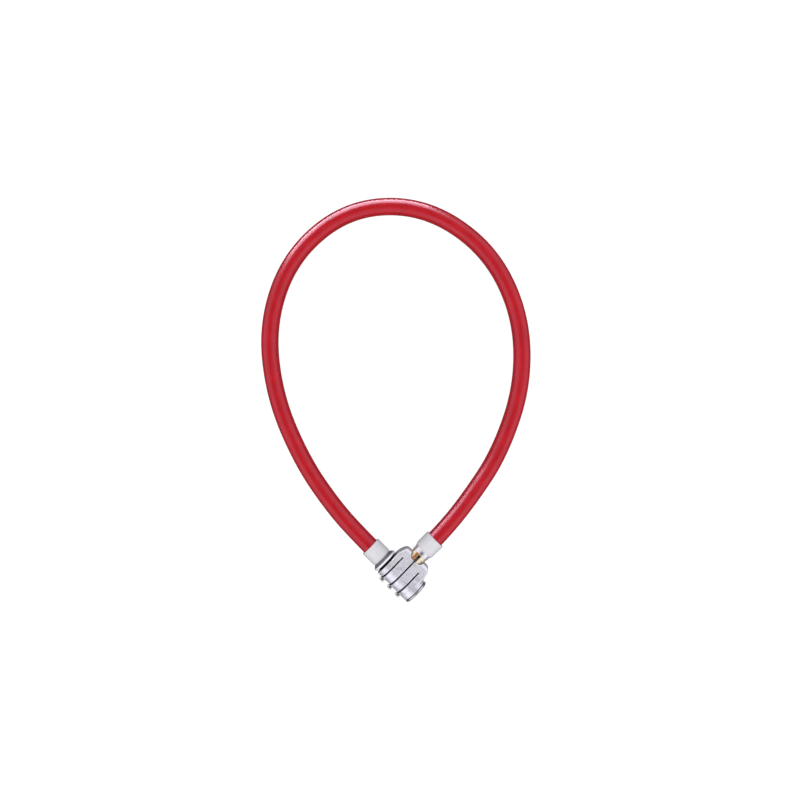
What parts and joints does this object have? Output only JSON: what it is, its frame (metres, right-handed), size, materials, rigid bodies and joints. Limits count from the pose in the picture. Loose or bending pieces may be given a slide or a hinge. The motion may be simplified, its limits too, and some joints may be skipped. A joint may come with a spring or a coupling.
{
  "type": "cable luggage lock",
  "caption": "Combination cable lock: a short barrel housing with tab-operated tumblers and a sheathed wire cable that loops back to a brass plug in a side socket.",
  "frame": {"origin": "on the flat back of the housing, under the plug socket's axis; the lock lies on that face", "axes": "+Z out through the front face, away from the surface it lies on; +Y towards the far end of the cable loop; the barrel's axis runs towards +X and -Y, the plug's socket opens towards +X and +Y"},
  "size_m": [0.186, 0.278, 0.0184],
  "materials": {
    "zinc_casting": "bright plated die casting, slightly uneven",
    "steel": "turned or stamped steel",
    "spring_steel": "blued spring steel",
    "white_plastic": "moulded, smooth, semi-gloss",
    "red_pvc": "extruded soft PVC, glossy, slightly translucent",
    "wire_strand": "galvanised wire strand",
    "bright_nickel": "bright nickel plate",
    "brass": "turned brass"
  },
  "bodies": {
    "lock_body": {"lock_housing": "zinc_casting", "back_cover": "zinc_casting", "cover_screws": "steel", "outer_end_cap": "zinc_casting", "cable_anchor": "zinc_casting", "anchor_pin": "steel", "dial_spindle": "steel", "spindle_ring": "spring_steel", "spacer_sleeves": "steel", "detent_leaf": "spring_steel", "locking_leaf": "spring_steel", "leaf_screws": "steel", "fixed_ferrule": "white_plastic", "fixed_crimp": "steel", "cable_sheath_fixed": "red_pvc", "cable_core_fixed": "wire_strand"},
    "plug_end": {"cable_sheath_free": "red_pvc", "cable_core_free": "wire_strand", "plug_ferrule": "white_plastic", "plug_crimp": "steel", "plug_collar": "bright_nickel", "plug_pin": "brass", "plug_cross_pin": "steel"},
    "dial_a": {"dial_disc_a": "steel", "dial_tab_a": "bright_nickel"},
    "dial_b": {"dial_disc_b": "steel", "dial_tab_b": "bright_nickel"},
    "dial_c": {"dial_disc_c": "steel", "dial_tab_c": "bright_nickel"}
  },
  "joints": [
    {"name": "cable_open", "type": "hinge", "parent": "lock_body", "child": "plug_end", "pos_m": [-0.08702, 0.09294, 0.0061], "axis": [0, 0, 1], "range_deg": [0, 25], "deforming": ["locking_leaf"]},
    {"name": "dial_a_turn", "type": "hinge", "parent": "lock_body", "child": "dial_a", "pos_m": [-0.01025, 0.00035, 0.0092], "axis": [-0.7071, 0.7071, 0], "range_deg": [0, 90]},
    {"name": "dial_b_turn", "type": "hinge", "parent": "lock_body", "child": "dial_b", "pos_m": [-0.00495, -0.00495, 0.0092], "axis": [-0.7071, 0.7071, 0], "range_deg": [0, 90]},
    {"name": "dial_c_turn", "type": "hinge", "parent": "lock_body", "child": "dial_c", "pos_m": [0.00035, -0.01025, 0.0092], "axis": [-0.7071, 0.7071, 0], "range_deg": [0, 90]}
  ]
}
